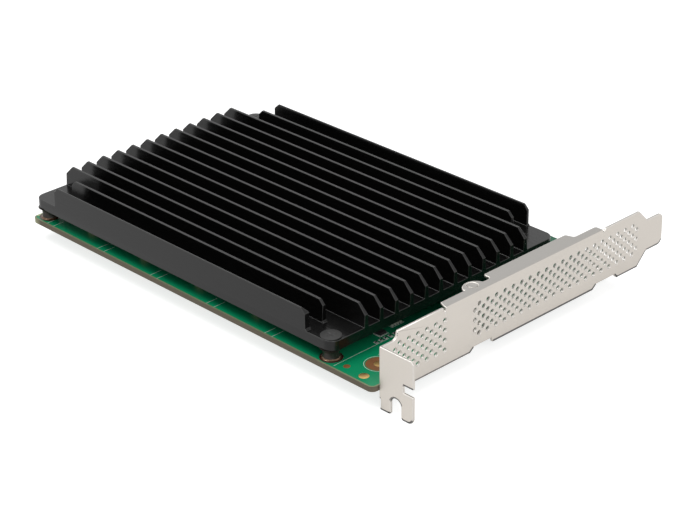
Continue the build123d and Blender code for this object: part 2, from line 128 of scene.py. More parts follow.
def seenDirectly(tree):
    # 1 for rays that show the backdrop itself: camera, glossy or transmission
    path = addNode(tree, "LightPath")
    either = addNode(tree, "Math", {0: path["Is Camera Ray"], 1: path["Is Glossy Ray"]},
                     operation="MAXIMUM")[0]
    return addNode(tree, "Math", {0: either, 1: path["Is Transmission Ray"]},
                   operation="MAXIMUM")[0]


def layStudio():
    scene = bpy.context.scene
    scene.view_settings.view_transform = "Standard"
    scene.world = bpy.data.worlds.new("studioWorld")
    tree = emptyTree(scene.world)
    shown, light = [addNode(tree, "Background", {"Color": studio["worldColour"],
                                                 "Strength": studio[strength]})[0]
                    for strength in ("worldShown", "worldLight")]
    mixed = addNode(tree, "MixShader", {"Fac": seenDirectly(tree), 1: light, 2: shown})[0]
    addNode(tree, "OutputWorld", {"Surface": mixed})

    half = studio["floorSize"] / 2
    mesh = bpy.data.meshes.new("floor")
    mesh.from_pydata([(-half, -half, 0), (half, -half, 0), (half, half, 0), (-half, half, 0)],
                     [], [(0, 1, 2, 3)])
    floor = bpy.data.objects.new("floor", mesh)
    scene.collection.objects.link(floor)
    material = bpy.data.materials.new("floorPaper")
    tree = emptyTree(material)
    paper = addNode(tree, "BsdfDiffuse", {"Color": studio["floorColour"]})[0]
    level = mapRange(tree, addNode(tree, "LightPath")["Is Glossy Ray"], *studio["floorGlow"])
    strength = addNode(tree, "Math", {0: seenDirectly(tree), 1: level}, operation="MULTIPLY")[0]
    glow = addNode(tree, "Emission", {"Strength": strength})[0]
    both = addNode(tree, "AddShader", {0: paper, 1: glow})[0]
    addNode(tree, "OutputMaterial", {"Surface": both})
    mesh.materials.append(material)

    for name, place, size, watts in studio["lamps"]:
        data = bpy.data.lights.new(name, "AREA")
        data.size, data.energy = size, watts
        lamp = bpy.data.objects.new(name, data)
        lamp.location = place
        lamp.rotation_euler = (-Vector(place)).to_track_quat("-Z", "Y").to_euler()
        scene.collection.objects.link(lamp)
    print("studio lit")


# colour and second are mixed by a noise of patch spots a metre; a finer grain, spread by
# stretch along each axis (one number where all are alike), lifts the surface by lift metres
# and moves rough up and down by sway; upward is a darker colour, painted shade, for faces
# that look up; what a finish leaves out is as in plainFinish
plainFinish = dict(stretch=9000, lift=3e-6, sway=0.1, metal=0, ior=1.45)
finishes = {
    "anodBlack": dict(colour=(0.0020, 0.0020, 0.0020), second=(0.0035, 0.0034, 0.0033), patch=90,
        stretch=(18, 1250, 1250), lift=2.6e-5, rough=0.21, sway=0.07, ior=1.41),
    # a lighter copy of the anodised black for the rounded edges: painted highlight
    "anodEdgeLit": dict(colour=(0.010, 0.010, 0.010), second=(0.016, 0.016, 0.015), patch=200,
        stretch=(25, 2600, 2600), rough=0.20, sway=0.05, ior=1.52),
    # the nickel's faces that look up are painted darker: painted shade on the flange
    "bracketNickel": dict(colour=(0.70, 0.655, 0.60), second=(0.64, 0.60, 0.55),
        shadedTop=(0.39, 0.375, 0.355), patch=30, stretch=(2500, 120, 2500), lift=1.0e-6,
        rough=0.42, sway=0.08, metal=1),
    "screwZinc": dict(colour=(0.55, 0.54, 0.52), second=(0.42, 0.41, 0.39), patch=900,
        stretch=5000, lift=2e-6, rough=0.35, sway=0.12, metal=1),
    "screwPlated": dict(colour=(0.026, 0.026, 0.026), second=(0.018, 0.018, 0.017), patch=500,
        stretch=5000, lift=2e-6, rough=0.42, sway=0.12, ior=1.42),
    # a dark grey of painted shade, for the strips along the bracket's lower edges
    "shadeGrey": dict(colour=(0.105, 0.103, 0.102), second=(0.16, 0.155, 0.15), patch=900,
        stretch=(4000, 4000, 900), lift=2e-6, rough=0.55, sway=0.08, metal=0.3),
    # a lighter copy of the nickel for the hole rims: painted light on the hole walls
    "boreNickelLit": dict(colour=(0.80, 0.77, 0.73), second=(0.70, 0.67, 0.63), patch=900,
        stretch=5000, lift=2e-6, rough=0.50, metal=0.6),
    "standoffDark": dict(colour=(0.030, 0.027, 0.025), second=(0.050, 0.042, 0.036), patch=700,
        stretch=(800, 800, 9000), lift=2e-6, rough=0.30, metal=0.6, ior=1.5),
    "beadBrown": dict(colour=(0.055, 0.018, 0.014), second=(0.24, 0.15, 0.08), patch=500,
        stretch=3000, lift=4e-6, rough=0.22, sway=0.08, metal=0.5, ior=1.5),
    "postBrass": dict(colour=(0.62, 0.50, 0.30), second=(0.52, 0.40, 0.22), patch=700,
        stretch=(800, 800, 9000), lift=2e-6, rough=0.32, metal=1),
    "socketBlack": dict(colour=(0.016, 0.016, 0.016), second=(0.022, 0.022, 0.022), patch=500,
        rough=0.5, ior=1.5),
    "padSoft": dict(colour=(0.42, 0.47, 0.55), second=(0.36, 0.41, 0.49), patch=300,
        stretch=4000, lift=8e-6, rough=0.75, sway=0.08),
    "chipBlack": dict(colour=(0.018, 0.018, 0.019), second=(0.028, 0.028, 0.029), patch=800,
        stretch=12000, rough=0.55, sway=0.12),
    "ferriteGrey": dict(colour=(0.12, 0.12, 0.125), second=(0.08, 0.08, 0.083), patch=700,
        lift=6e-6, rough=0.6, sway=0.12),
    "polymerBlack": dict(colour=(0.03, 0.028, 0.026), second=(0.045, 0.042, 0.04), patch=600,
        rough=0.5, sway=0.12),
    "ceramicTan": dict(colour=(0.30, 0.20, 0.13), second=(0.24, 0.15, 0.10), patch=1500,
        rough=0.5),
    "ledPale": dict(colour=(0.60, 0.66, 0.58), second=(0.45, 0.50, 0.42), patch=1500,
        stretch=3000, rough=0.3, sway=0.08),
    "goldPlate": dict(colour=(0.80, 0.52, 0.20), second=(0.72, 0.46, 0.17), patch=900,
        stretch=(6000, 900, 6000), lift=1.5e-6, rough=0.32, metal=1),
    "solderTin": dict(colour=(0.60, 0.60, 0.59), second=(0.48, 0.48, 0.47), patch=1200,
        stretch=5000, lift=4e-6, rough=0.30, sway=0.12, metal=1),
    "printWhite": dict(colour=(0.50, 0.62, 0.54), second=(0.38, 0.52, 0.44), patch=2500,
        rough=0.6),
    "traceGreen": dict(colour=(0.006, 0.26, 0.125), second=(0.004, 0.20, 0.095), patch=200,
        stretch=3000, lift=2e-6, rough=0.25, sway=0.06, ior=1.5),
    "bareLaminate": dict(colour=(0.21, 0.080, 0.018), second=(0.12, 0.045, 0.012), patch=500,
        stretch=2500, lift=4e-6, rough=0.45, ior=1.5),
    "maroonRing": dict(colour=(0.022, 0.008, 0.007), second=(0.060, 0.018, 0.014), patch=900,
        stretch=2500, lift=4e-6, rough=0.3, ior=1.5),
    # painted light: the fibre at the board's left end, pale as if lit through
    "paleFibreLit": dict(colour=(0.50, 0.56, 0.34), second=(0.36, 0.44, 0.22), patch=500,
        stretch=2500, lift=4e-6, rough=0.5, ior=1.5),
    "boardMargin": dict(colour=(0.130, 0.180, 0.085), second=(0.21, 0.20, 0.12), patch=350,
        stretch=(900, 900, 4000), lift=4e-6, rough=0.5, ior=1.5),
}


def mappedNoise(tree, coords, stretch, scale, detail):
    # noise on the piece's own coordinates, spread by stretch
    stretch = stretch if isinstance(stretch, tuple) else (stretch,) * 3
    spread = addNode(tree, "Mapping", {"Vector": coords["Object"], "Scale": stretch})["Vector"]
    return addNode(tree, "TexNoise", {"Vector": spread, "Scale": scale, "Detail": detail})["Fac"]


def mixColours(tree, factor, low, high):
    low, high = [(*end, 1) if isinstance(end, tuple) else end for end in (low, high)]
    return addNode(tree, "Mix", {"Factor": factor, "A": low, "B": high},
                   data_type="RGBA")["Result"]


def facingUp(tree):
    # the height of the face's own direction: 1 looks up, 0 is upright, -1 looks down
    direction = addNode(tree, "NewGeometry")["Normal"]
    return addNode(tree, "SeparateXYZ", {0: direction})["Z"]


def newMaterial(name):
    material = bpy.data.materials.new(name)
    material.use_nodes = True
    tree = material.node_tree
    return material, tree, addNode(tree, "TexCoord")


def setShader(tree, colour, rough, grain, lift, metal, ior):
    # colour, roughness and the bump of the grain are linked; metal and ior are values
    bump = addNode(tree, "Bump", {"Strength": 1.0, "Distance": lift, "Height": grain})["Normal"]
    shader = tree.nodes["Principled BSDF"]
    for socket, output in (("Base Color", colour), ("Roughness", rough), ("Normal", bump)):
        tree.links.new(output, shader.inputs[socket])
    shader.inputs["Metallic"].default_value = metal
    shader.inputs["IOR"].default_value = ior


# faces that look up take on the painted shade over this span of their direction's height
shadedTopRange = (0.55, 0.95)   # from the sides' colour to the upward one


def makeFinish(name):
    look = {**plainFinish, **finishes[name]}
    material, tree, coords = newMaterial(name)
    patches = mappedNoise(tree, coords, 1.0, look["patch"], 3.0)
    grain = mappedNoise(tree, coords, look["stretch"], 1.0, 4.0)
    colour = mixColours(tree, patches, look["colour"], look["second"])
    # faces that look up are mixed towards a darker colour: painted shade
    if "shadedTop" in look:
        share = mapRange(tree, facingUp(tree), 0.0, 1.0, *shadedTopRange)
        colour = mixColours(tree, share, colour, look["shadedTop"])
    rough = mapRange(tree, grain, look["rough"] - look["sway"], look["rough"] + look["sway"])
    setShader(tree, colour, rough, grain, look["lift"], look["metal"], look["ior"])
    return material


# the board: green mask over copper, with the glass fibre core showing at its edges
boardLook = dict(
    mask=(0.003, 0.245, 0.105), maskDark=(0.003, 0.195, 0.085),
    shadedMask=(0.0010, 0.115, 0.055), shadedMaskDark=(0.0007, 0.085, 0.040),
    shadeEdge=(22, 29),      # y where painted shade darkens the mask towards the far side
    core=(0.20, 0.165, 0.125), coreDark=(0.13, 0.115, 0.080),
    paleCore=(0.50, 0.52, 0.33),
    paleEnd=(-149.6, -146.5),   # x where light passes through the bare fibre
    cloud=60, plies=(300, 300, 9000), weave=2500, weaveLift=4e-6,
    faceRough=0.22, edgeRough=0.7, ior=1.30,
)


def alongCard(tree, spot, axis, ends):
    # from 0 to 1 between two places on the drawing
    low, high = [(end + drawing["shift"]["XYZ".index(axis)]) / 1000.0 for end in ends]
    return mapRange(tree, spot[axis], 0.0, 1.0, low, high)


def makeBoardFinish():
    look = boardLook
    material, tree, coords = newMaterial("boardMask")
    steep = addNode(tree, "Math", {0: facingUp(tree)}, operation="ABSOLUTE")[0]
    isFace = addNode(tree, "Math", {0: steep, 1: 0.5}, operation="GREATER_THAN")[0]
    cloudy = mappedNoise(tree, coords, 1.0, look["cloud"], 3.0)
    plies = mappedNoise(tree, coords, look["plies"], 1.0, 2.0)
    weave = mappedNoise(tree, coords, look["weave"], 1.0, 2.0)
    spot = addNode(tree, "SeparateXYZ", {0: coords["Object"]})
    mask = mixColours(tree, cloudy, look["maskDark"], look["mask"])
    # the mask darkens towards the far side: painted shade
    shadedMask = mixColours(tree, cloudy, look["shadedMaskDark"], look["shadedMask"])
    mask = mixColours(tree, alongCard(tree, spot, "Y", look["shadeEdge"]), mask, shadedMask)
    core = mixColours(tree, plies, look["coreDark"], look["core"])
    core = mixColours(tree, alongCard(tree, spot, "X", look["paleEnd"]), look["paleCore"], core)
    colour = mixColours(tree, isFace, core, mask)
    rough = mapRange(tree, isFace, look["edgeRough"], look["faceRough"])
    setShader(tree, colour, rough, weave, look["weaveLift"], 0.0, look["ior"])
    return material


# the bracket's sheared edges: bright where they look up, with painted shade, dark, where they look
# down
edgeLook = dict(
    bright=(0.74, 0.71, 0.67), worn=(0.62, 0.59, 0.55), paintedShade=(0.020, 0.019, 0.018),
    paintedShadeRange=(-0.30, -0.02), grain=(4000, 4000, 900), lift=2e-6,
    rough=(0.37, 0.53), ior=1.5,
)


def makeEdgeFinish():
    look = edgeLook
    material, tree, coords = newMaterial("shearedEdgeShaded")
    grain = mappedNoise(tree, coords, look["grain"], 1.0, 3.0)
    worn = mixColours(tree, grain, look["bright"], look["worn"])
    # faces that look down turn dark: painted shade
    share = mapRange(tree, facingUp(tree), 0.0, 1.0, *look["paintedShadeRange"])
    colour = mixColours(tree, share, look["paintedShade"], worn)
    rough = mapRange(tree, grain, *look["rough"])
    setShader(tree, colour, rough, grain, look["lift"], 1.0, look["ior"])
    return material


# A surface is its grids of points (grids, u, v, 3 in drawing millimetres), and whether it
# closes round u and round v. The shapes below give surfaces, and buildPiece makes them mesh.
def spots(*parts):
    # points from their coordinates, any of which may be one number for all
    return np.stack(np.broadcast_arrays(*parts), axis=-1).astype(float)


def paths(*points):
    # paths from their first, second and later points, each given by x and y
    return np.stack([spots(*point) for point in points], axis=1)


def gridFaces(count, nu, nv, wrapU, wrapV):
    # quads (u,v), (u+1,v), (u+1,v+1), (u,v+1) of count grids of nu by nv points
    u = np.arange(nu if wrapU else nu - 1)
    v = np.arange(nv if wrapV else nv - 1)
    block = np.arange(count)[:, None, None] * nu * nv
    u0, u1 = (u * nv)[None, :, None], (((u + 1) % nu) * nv)[None, :, None]
    v0, v1 = v[None, None, :], ((v + 1) % nv)[None, None, :]
    corners = [block + a + b for a, b in ((u0, v0), (u1, v0), (u1, v1), (u0, v1))]
    return np.stack(corners, axis=-1).reshape(count, -1, 4)


# the finishes by name, made by makeMaterials, for the pieces to wear
materials = {}

# points of packed and of made pieces that are closer than this many metres are merged, and
# packed faces that turn by less than flat degrees become one
merging = dict(packed=3e-6, flat=0.4, made=1e-7, sliver=1e-8)


def joinObject(name, mesh, finishNames, replaced, sharp):
    # the piece rides on the object, stands for imported pieces, and wears its finishes as
    # materials
    for finishName in finishNames:
        mesh.materials.append(materials[finishName])
    mesh.shade_smooth()
    mesh.set_sharp_from_angle(angle=math.radians(sharp))
    piece = bpy.data.objects.new(name, mesh)
    bpy.context.scene.collection.objects.link(piece)
    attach(piece, "root")
    if replaced:
        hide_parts(*replaced)
    return piece


def buildPiece(name, worn, *replaced, sharp=40.0):
    # worn: for each finish, the surfaces that wear it; replaced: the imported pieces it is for
    points, faces, finish, start = [], [], [], 0
    numbered = [(number, *surface) for number, surfaces in enumerate(worn.values())
                for surface in surfaces]
    for number, grid, wrapU, wrapV in numbered:
        count, nu, nv, _ = grid.shape
        quads = gridFaces(count, nu, nv, wrapU, wrapV)
        points.append(grid.reshape(-1, 3))
        # faces point outwards where the volume that they enclose comes out above zero
        centre = grid.mean(axis=(1, 2))[:, None]
        a, b, c, d = (points[-1][quads[..., corner]] - centre for corner in range(4))
        volume = (a * (np.cross(b, c) + np.cross(c, d))).sum(axis=(1, 2))
        quads = np.where(volume[:, None, None] < 0, quads[..., ::-1], quads).reshape(-1, 4)
        faces.append(quads + start)
        finish.append(np.full(len(quads), number))
        start += count * nu * nv
    points, faces = np.concatenate(points), np.concatenate(faces)
    mesh = bpy.data.meshes.new(name)
    mesh.vertices.add(len(points))
    mesh.vertices.foreach_set("co", toFrame(points).ravel())
    mesh.loops.add(faces.size)
    mesh.loops.foreach_set("vertex_index", faces.ravel())
    mesh.polygons.add(len(faces))
    mesh.polygons.foreach_set("loop_start", np.arange(len(faces)) * 4)
    mesh.polygons.foreach_set("material_index", np.concatenate(finish))
    mesh.update(calc_edges=True)
    work = bmesh.new()
    work.from_mesh(mesh)
    bmesh.ops.remove_doubles(work, verts=work.verts, dist=merging["made"])
    bmesh.ops.dissolve_degenerate(work, edges=work.edges, dist=merging["sliver"])
    work.to_mesh(mesh)
    work.free()
    joinObject(name, mesh, list(worn), replaced, sharp)


def revolve(profile, places, sides=32, closed=False, axis="z"):
    # a profile of (radius, height) turned about an upright axis at each place: the point at
    # turn a is place plus radius times (cos a, sin a), at that height; axis x lays it along x
    profile = np.asarray(profile, dtype=float)
    places = np.asarray(places, dtype=float)
    turn = np.linspace(0, 2 * np.pi, sides, endpoint=False)[None, :, None]
    radius, height = profile[None, None, :, 0], profile[None, None, :, 1]
    across = places[:, 0][:, None, None] + radius * np.cos(turn)
    along = places[:, 1][:, None, None] + radius * np.sin(turn)
    height = np.broadcast_to(height, across.shape)
    order = (across, along, height) if axis == "z" else (height, across, along)
    return np.stack(order, axis=-1), True, closed


def flatRing(inner, outer, heights, places, sides, soften=0.02):
    # a flat ring whose closed section has its upper corners taken off
    low, high = heights
    section = [(inner, low), (outer, low), (outer, high - soften), (outer - soften, high),
               (inner + soften, high), (inner, high - soften)]
    return revolve(section, places, sides, closed=True)


def layer(tall, under=False, gap=0.002):
    # lowest and highest z of a thin layer on the board's upper side, or under it
    return (underside - tall, underside - gap) if under else (gap, tall)


def ribbon(routes, width, heights, soften=0.25):
    # a flat strip carried along each path of (x, y): at each point its section is set across
    # the mean direction of the two legs, widened by one over the cosine of half the turn;
    # both ends close on a middle point
    routes = np.asarray(routes, dtype=float)
    low, high = heights
    legs = np.diff(routes, axis=1)
    legs /= np.linalg.norm(legs, axis=2, keepdims=True) + 1e-12
    before = np.concatenate([legs[:, :1], legs], axis=1)
    after = np.concatenate([legs, legs[:, -1:]], axis=1)
    mean = before + after
    mean /= np.linalg.norm(mean, axis=2, keepdims=True) + 1e-12
    stretch = 1 / np.clip((mean * after).sum(axis=2), 0.5, 1)
    side = np.stack([-mean[..., 1], mean[..., 0]], axis=-1) * stretch[..., None]
    inset = soften * (high - low)
    half = width / 2
    across = np.array([-half, -half, -half + inset, half - inset, half, half])
    rise = np.array([low, high - inset, high, high, high - inset, low])
    flat = routes[:, :, None, :] + side[:, :, None, :] * across[None, None, :, None]
    tall = np.broadcast_to(rise[None, None, :, None], flat.shape[:3] + (1,))
    return closedEnds(np.concatenate([flat, tall], axis=-1))


def closedEnds(body):
    # sections closed round v, with the first and the last drawn together on a middle point
    middle = np.broadcast_to(body.mean(axis=2, keepdims=True), body.shape)
    return np.concatenate([middle[:, :1], body, middle[:, -1:]], axis=1), False, True


def softBlock(places, size, corner=0.05, edge=0.04, flare=0.0, lower=0.0):
    # a block with rounded upright corners: rounded rectangles stacked from a middle point
    # below to a middle point above, drawn in by the edge's width next to the top, and
    # spread by flare at the bottom, as solder is
    places = np.atleast_2d(np.asarray(places, dtype=float))
    halfX, halfY, tall = size[0] / 2, size[1] / 2, size[2]
    steps = 3   # points round each corner
    quarter = np.linspace(0, np.pi / 2, steps)
    turn = (np.arange(4)[:, None] * np.pi / 2 + quarter[None, :]).ravel()
    signX = np.repeat([1, -1, -1, 1], steps)
    signY = np.repeat([1, 1, -1, -1], steps)
    insets = np.array([0, -flare, 0, 0, edge * 0.3, edge, 0])
    heights = np.array([0, 0, min(0.35 * tall, flare * 1.2) if flare else 0.001,
                        tall - edge, tall - 0.3 * edge, tall, tall]) + lower
    scale = np.array([0, 1, 1, 1, 1, 1, 0])
    radius = np.maximum(corner - insets, 0.001)[None, :]
    acrossX = (signX[:, None] * (halfX - corner) + radius * np.cos(turn)[:, None]) * scale
    acrossY = (signY[:, None] * (halfY - corner) + radius * np.sin(turn)[:, None]) * scale
    shape = spots(acrossX, acrossY, heights)
    base = np.zeros((len(places), 3))
    base[:, :places.shape[1]] = places
    return base[:, None, None, :] + shape[None], True, False


def mergedWork(node):
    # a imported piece's loose triangles merged into whole faces, in a mesh to work on
    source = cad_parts[node]
    work = bmesh.new()
    work.from_mesh(source.data)
    work.transform(source.matrix_world)
    bmesh.ops.remove_doubles(work, verts=work.verts, dist=merging["packed"])
    bmesh.ops.dissolve_limit(work, angle_limit=math.radians(merging["flat"]),
                             verts=work.verts, edges=work.edges)
    return work


def roundedCopy(name, node, width, *finishNames, segments=2, angle=30.0, change=None,
                skip=None, clamp=True):
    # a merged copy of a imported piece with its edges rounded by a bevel; change moves its
    # points, and skip says which edges stay sharp
    mesh = bpy.data.meshes.new(name)
    work = mergedWork(node)
    work.to_mesh(mesh)
    work.free()
    for extra in ("custom_normal", "sharp_edge", "sharp_face"):
        if extra in mesh.attributes:
            mesh.attributes.remove(mesh.attributes[extra])
    places = np.empty(len(mesh.vertices) * 3)
    mesh.vertices.foreach_get("co", places)
    places = toDrawing(places.reshape(-1, 3))
    if change is not None:
        places = change(places)
        mesh.vertices.foreach_set("co", toFrame(places).ravel())
    mesh.update()
    work = bmesh.new()
    work.from_mesh(mesh)
    kept = skip(places) if skip is not None else np.zeros(len(places), dtype=bool)
    weight = work.edges.layers.float.new("bevel_weight_edge")
    for edge in work.edges:
        turned = len(edge.link_faces) == 2 and edge.calc_face_angle(0.0) > math.radians(angle)
        stays = kept[edge.verts[0].index] and kept[edge.verts[1].index]
        edge[weight] = 1.0 if turned and not stays else 0.0
    work.to_mesh(mesh)
    work.free()
    mesh.polygons.foreach_set("material_index", np.zeros(len(mesh.polygons), dtype=int))
    piece = joinObject(name, mesh, finishNames, (node,), angle)
    bevel = piece.modifiers.new("roundEdges", "BEVEL")
    bevel.limit_method = "WEIGHT"
    bevel.width = width / 1000.0
    bevel.segments = segments
    bevel.harden_normals = True
    bevel.use_clamp_overlap = clamp
    bevel.miter_outer = "MITER_ARC"
    bevel.material = 1 if len(finishNames) > 1 else -1


# bracket: bevel of its edges, and the two feet (y, half length) with the notches beside them
bracketLook = dict(bevel=0.26, feet=((40.4, 6.5), (card["farFootY"], 7.5)), feetTop=1)

# perforations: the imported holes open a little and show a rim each, whose skirts reach into
# the sheet; fields are the first column's y and the number of columns
perforation = dict(
    radius=0.75, innerRadius=0.60, opening=1.2, columnStep=1.765, rowStep=1.55,
    topDrop=4, rows=7, fields=((5.4, 12), (37, 41)), segments=14, edge=0.16,
    skirt=0.36, skirtDeep=0.05, openReach=1.25, sharpReach=1.5,
)


def perforationPlaces():
    # every second column starts a row lower and has one hole fewer
    p = perforation
    places = []
    for start, columns in p["fields"]:
        column, row = np.meshgrid(np.arange(columns), np.arange(p["rows"]), indexing="ij")
        used = (row - (column + 1)) % 2 == 0
        places.append(spots(start + column[used] * p["columnStep"],
                            card["plateTop"] - p["topDrop"] - row[used] * p["rowStep"]))
    return np.concatenate(places)


def nearHoles(places, share):
    # nearest hole's middle for every point, and whether the point is within share radii of it
    holes = perforationPlaces()
    away = np.linalg.norm(places[:, None, 1:] - holes[None], axis=2)
    inPlate = (places[:, 0] > -card["sheet"] - 0.02) & (places[:, 0] < 0.02)
    return holes[away.argmin(axis=1)], (away.min(axis=1) < perforation["radius"] * share) & inPlate


def openHoles(places):
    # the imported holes' corners move outwards, so that the round rims show in them
    centre, inside = nearHoles(places, perforation["openReach"])
    centre = centre[inside]
    grown = places.copy()
    grown[inside, 1:] = centre + (places[inside, 1:] - centre) * perforation["opening"]
    return grown


def staysSharp(places):
    # the holes, which get rims of their own, and the feet with the notches beside them
    kept = nearHoles(places, perforation["sharpReach"])[1]
    for y, half in bracketLook["feet"]:
        kept |= (np.abs(places[:, 1] - y) < half) & (places[:, 2] < bracketLook["feetTop"])
    return kept


# a dark strip of painted shade along the lower edges of the bracket's outer faces: heights above
# the edge, and its depth
shadeStrip = dict(lower=0.24, sharpLower=0.03, upper=0.62, round=0.03, proud=0.004,
                sunk=0.03, lookingDown=-0.3, square=0.99, onFace=0.05)


def loweredEdges():
    # ends and outward normal of each edge where an outer face meets a face that looks down
    look = shadeStrip
    work = mergedWork("bracket")
    work.normal_update()
    ends, normals = [], []
    for edge in work.edges:
        if len(edge.link_faces) != 2:
            continue
        low, outer = sorted(edge.link_faces, key=lambda face: face.normal.z)
        facesOut = outer.normal.x > look["square"] or outer.normal.y < -look["square"]
        if low.normal.z < look["lookingDown"] and facesOut:
            ends.append([tuple(vertex.co) for vertex in edge.verts])
            normals.append(tuple(outer.normal))
    work.free()
    ends, normals = toDrawing(ends), np.array(normals)
    inHole = nearHoles(ends.reshape(-1, 3), perforation["sharpReach"])[1].reshape(-1, 2)
    onPlate = (normals[:, 0] > 0.5) & (np.abs(ends[:, :, 0]) < look["onFace"]).all(axis=1)
    onTab = (normals[:, 1] < -0.5) & (np.abs(ends[:, :, 1]) < look["onFace"]).all(axis=1)
    kept = (onPlate | onTab) & ~inHole.all(axis=1)
    return ends[kept], normals[kept]


def shadeStrips():
    # the strip of painted shade: a closed section of (height above the edge, stand-off from the
    # face) set along each edge, upwards being the normal crossed with the edge; ends close on a
    # middle point
    look = shadeStrip
    ends, normal = loweredEdges()
    along = ends[:, 1] - ends[:, 0]
    along /= np.linalg.norm(along, axis=1, keepdims=True)
    up = np.cross(normal, along)
    up *= np.sign(up[:, 2:])
    sharp = staysSharp(ends.reshape(-1, 3)).reshape(-1, 2).all(axis=1)
    start = np.where(sharp, look["sharpLower"], look["lower"])
    rise = spots(start, start, look["upper"] - look["round"], look["upper"])[:, None, :, None]
    stand = np.array([-look["sunk"], look["proud"], look["proud"], -look["sunk"]])
    body = ends[:, :, None] + rise * up[:, None, None] \
        + stand[None, None, :, None] * normal[:, None, None]
    return closedEnds(body)


def makeBracket():
    # the bevel faces wear the edge finish, dark with painted shade where they look down
    roundedCopy("bracketSheet", "bracket", bracketLook["bevel"], "bracketNickel", "shearedEdgeShaded",
                change=openHoles, skip=staysSharp, clamp=False)
    p, sheet = perforation, card["sheet"]
    r, edge, skirt = p["radius"], p["edge"], p["radius"] + p["skirt"]
    # closed section of a rim: a rolled lip, and a punched bore that narrows inwards
    rim = [(skirt, -p["skirtDeep"]), (r + edge + 0.02, -0.002), (r + 0.4 * edge, -0.03),
           (r, -edge), (p["innerRadius"], edge - sheet), (p["innerRadius"] + 0.2, 0.01 - sheet),
           (r + edge + 0.02, 0.002 - sheet), (skirt, p["skirtDeep"] - sheet)]
    rims = revolve(rim, perforationPlaces(), p["segments"], closed=True, axis="x")
    # the rims wear the lighter nickel, painted light on the hole walls
    buildPiece("perforationRims", {"boreNickelLit": [rims]}, sharp=70.0)
    # dark strips of painted shade along the bracket's lower edges
    buildPiece("bracketShadeStrips", {"shadeGrey": [shadeStrips()]})
    print("bracket and", len(perforationPlaces()), "rims made")


rivet = dict(radius=2.3, round=0.15, bore=1.2, boreTop=6, head=1.55,
             dimple=0.62, dimpleDepth=0.10, nutBevel=0.22)


def makePillar():
    # pillar under the ear with rounded ends, its riveted end filling the ear's hole and
    # dimpled by the punch: depth falls with the square of the distance from the middle
    top, under = card["plateTop"], card["plateTop"] - card["sheet"]
    r, soft, bore, boreTop, h, dimple, deep, nutBevel = rivet.values()
    profile = [(0, boreTop), (bore, boreTop), (bore, soft), (bore + soft, 0), (r - soft, 0),
               (r, soft), (r, under - 0.2), (r - soft, under - 0.01), (h - 0.02, under - 0.01),
               (h - 0.02, top - 0.06), (h - 0.08, top - 0.02), (h - 0.3, top - 0.05),
               *((h * dimple * t, top - 0.05 - deep * (1 - t * t))
                 for t in np.linspace(1, 0, 5))]
    buildPiece("pillar", {"bracketNickel": [revolve(profile, [card["pillar"]], 40)]},
               "bracket_pillar")
    roundedCopy("nut", "bracket_nut", nutBevel, "screwZinc")
    print("pillar and nut made")


# screws: radii and heights of the heads, the shafts, and the cross that is pushed in
screwLook = dict(
    crown=0.05, pitch=0.45, threadDepth=0.12, recess=1.25, recessWidth=0.26,
    top=dict(head=3.05, tall=0.40, shaft=1.25, length=6.58, deep=0.10),
    lower=dict(head=2.5, tall=1.15, shaft=1.25, length=7.3, deep=0.55),
    feet=dict(head=2.3, tall=1.05, shaft=1.2, length=4.3, deep=0.55),
    feetX=-4.6,
)


def screwSurface(places, seat, kind, direction=-1):
    # stations from the shaft's tip to the head's middle; on the shaft the radius falls and
    # rises with a triangle wave of height over pitch less turn over one round; on the
    # head's top, points within the cross's arms are pushed in
    look = screwLook
    head, tall, shaft, length, deep = look[kind].values()
    pitch, crown = look["pitch"], look["crown"]
    steps = int(length / pitch * 5)
    shaftZ = np.linspace(-length + 0.3, -0.05, steps)
    rimZ = np.array([0.0, 0.0, 0.35, 0.8, 0.96, 1.0]) * tall
    rimR = np.array([shaft, head - 0.06, head, head, head - 0.06 * tall / 0.45, head - 0.16])
    innerR = np.linspace(head - 0.16, 0.0, 16)[1:]
    innerZ = tall + crown * (1 - (innerR / head) ** 2) - crown * (1 - (1 - 0.16 / head) ** 2)
    radius = np.concatenate([[0, shaft * 0.7], np.full(steps, shaft), rimR, innerR])
    height = np.concatenate([[-length, -length], shaftZ, rimZ, innerZ])
    threaded = np.concatenate([[0, 0], np.ones(steps), np.zeros(len(rimR) + len(innerR))])
    topSide = np.concatenate([np.zeros(2 + steps + len(rimR)), np.ones(len(innerR))])
    turn = np.linspace(0, 2 * np.pi, 48, endpoint=False)[:, None]
    phase = (height[None] / pitch - turn / (2 * np.pi)) % 1.0
    wave = np.abs(2 * phase - 1)
    r = radius[None] - threaded[None] * look["threadDepth"] * wave
    x, y = r * np.cos(turn), r * np.sin(turn)
    arm = np.minimum(np.abs(x), np.abs(y))
    reach = np.maximum(np.abs(x), np.abs(y))
    width = look["recessWidth"] * (1.2 - 0.4 * reach / look["recess"])
    inside = np.clip((width - arm) / 0.10 + 0.5, 0, 1)
    inside = inside * np.clip((look["recess"] - reach) / 0.15 + 0.5, 0, 1)
    z = height[None] - topSide[None] * deep * inside
    base = spots(*np.transpose(places), seat)
    return base[:, None, None, :] + spots(x, y * direction, z * direction)[None], True, False


def cornerPlaces(top):
    # the heatsink's screws: near right and far left from above, the other two from below
    x, y = card["screwInset"]
    near, far = card["sinkNear"] + y, card["sinkFar"] - y
    left, right = card["sinkLeft"] + x, card["sinkRight"] - x
    return [(right, near), (left, far)] if top else [(left, near), (right, far)]


